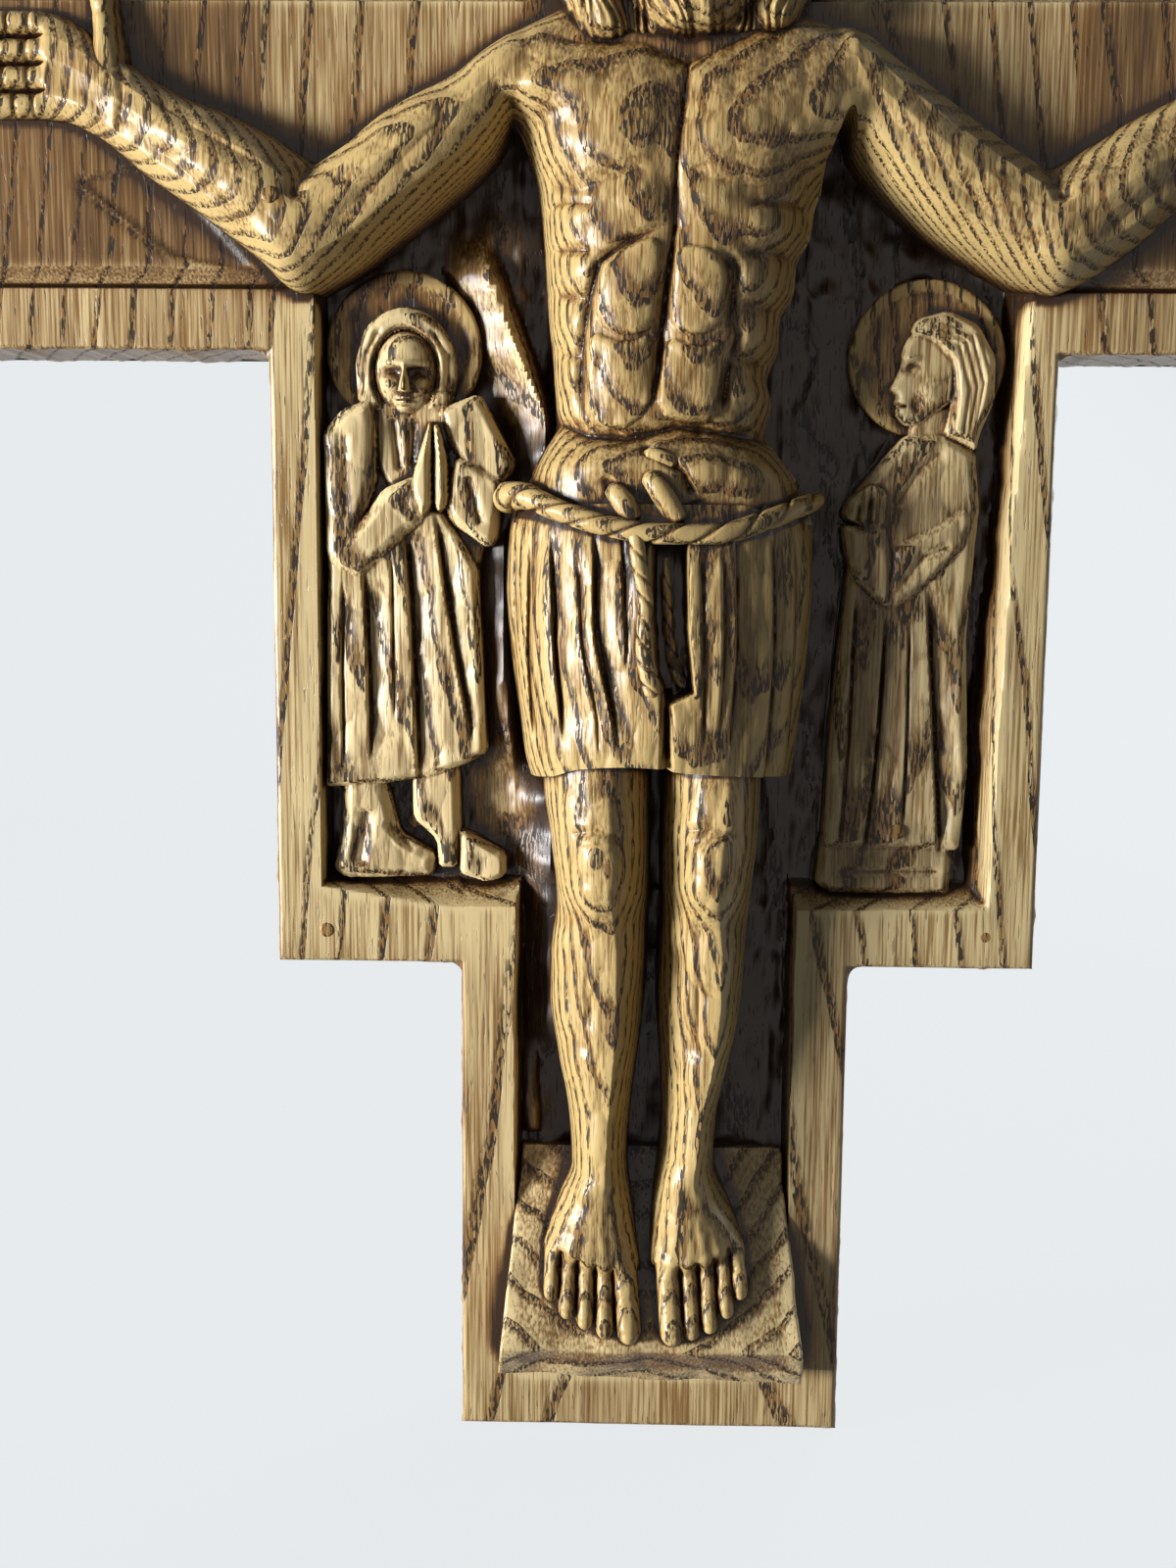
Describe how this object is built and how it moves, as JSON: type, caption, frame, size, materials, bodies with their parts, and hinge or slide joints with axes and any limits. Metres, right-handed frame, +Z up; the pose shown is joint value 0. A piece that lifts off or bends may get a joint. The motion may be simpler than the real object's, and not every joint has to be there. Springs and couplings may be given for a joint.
{
  "type": "crucifix",
  "caption": "Carved wooden wall crucifix: a cross with side aprons, a corpus on a footrest, two mourners with halos, and a swinging ring hanger let into the back.",
  "frame": {"origin": "on the flat back face, at the middle of the crossbar", "axes": "+Z up the shaft, -Y out of the carved front, +Y towards the wall, +X to the viewer's right"},
  "size_m": [0.28, 0.0429, 0.35],
  "materials": {
    "oak_boards": "stained and lacquered oak",
    "carved_oak": "carved oak, dark stain in the hollows, worn pale on the ridges, satin lacquer",
    "oak_pegs": "end-grain oak",
    "plated_steel": "zinc-plated"
  },
  "bodies": {
    "cross": {"shaft_board": "oak_boards", "left_apron_stave": "oak_boards", "right_apron_stave": "oak_boards", "left_crossbar_end": "oak_boards", "right_crossbar_end": "oak_boards", "crossbar_batten": "oak_boards", "apron_batten": "oak_boards", "trunk": "carved_oak", "head": "carved_oak", "halo": "carved_oak", "left_arm": "carved_oak", "right_arm": "carved_oak", "loincloth": "carved_oak", "rope_belt": "carved_oak", "left_leg": "carved_oak", "right_leg": "carved_oak", "footrest": "carved_oak", "left_mourner": "carved_oak", "right_mourner": "carved_oak", "left_halo": "carved_oak", "right_halo": "carved_oak", "title_plaque": "carved_oak", "apron_pegs": "oak_pegs", "arm_pegs": "oak_pegs", "mourner_pegs": "oak_pegs", "plaque_pins": "oak_pegs", "edge_dowels": "oak_pegs", "corpus_dowels": "oak_pegs", "mourner_dowels": "oak_pegs", "shoulder_dowels": "oak_pegs", "hip_dowels": "oak_pegs", "hanger_strap": "plated_steel", "hanger_screw": "plated_steel"},
    "ring": {"hanger_ring": "plated_steel"}
  },
  "joints": [
    {"name": "ring_swing", "type": "hinge", "parent": "cross", "child": "ring", "pos_m": [0, -0.00245, 0.0588], "axis": [1, 0, 0], "range_deg": [0, 180]}
  ]
}
